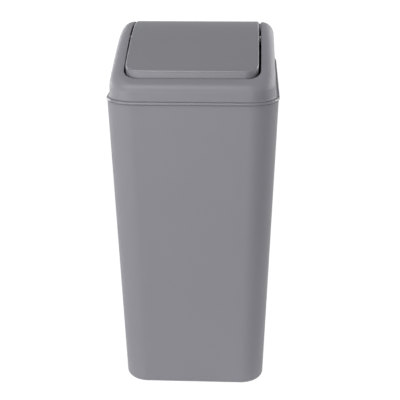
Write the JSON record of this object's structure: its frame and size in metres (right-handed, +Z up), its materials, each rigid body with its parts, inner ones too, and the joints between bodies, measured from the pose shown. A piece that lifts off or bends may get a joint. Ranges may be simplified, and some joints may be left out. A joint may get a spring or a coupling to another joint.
{
  "type": "countertop waste bin with swing lid",
  "caption": "Slim tapered plastic waste bin for a countertop, with a lift-off arched lid frame and a level-hanging flap that swings both ways on side pins.",
  "frame": {"origin": "on the standing surface, under the middle of the bin", "axes": "+Z up through the lid, -Y to the front, X across the bin along the flap's pins"},
  "size_m": [0.14, 0.202, 0.3],
  "materials": {
    "bin": "injection-moulded polypropylene, smooth matt grey",
    "lid_frame": "injection-moulded polypropylene, smooth matt grey",
    "swing_flap": "injection-moulded polypropylene, smooth matt grey"
  },
  "bodies": {
    "bin": {"bin": "bin"},
    "lid": {"lid_frame": "lid_frame"},
    "flap": {"swing_flap": "swing_flap"}
  },
  "joints": [
    {"name": "lid_lift", "type": "slide", "parent": "bin", "child": "lid", "axis": [0, 0, 1], "range_m": [0, 0.12]},
    {"name": "flap_swing", "type": "hinge", "parent": "lid", "child": "flap", "pos_m": [0, 0, 0.294], "axis": [1, 0, 0], "range_deg": [-80, 80]}
  ]
}
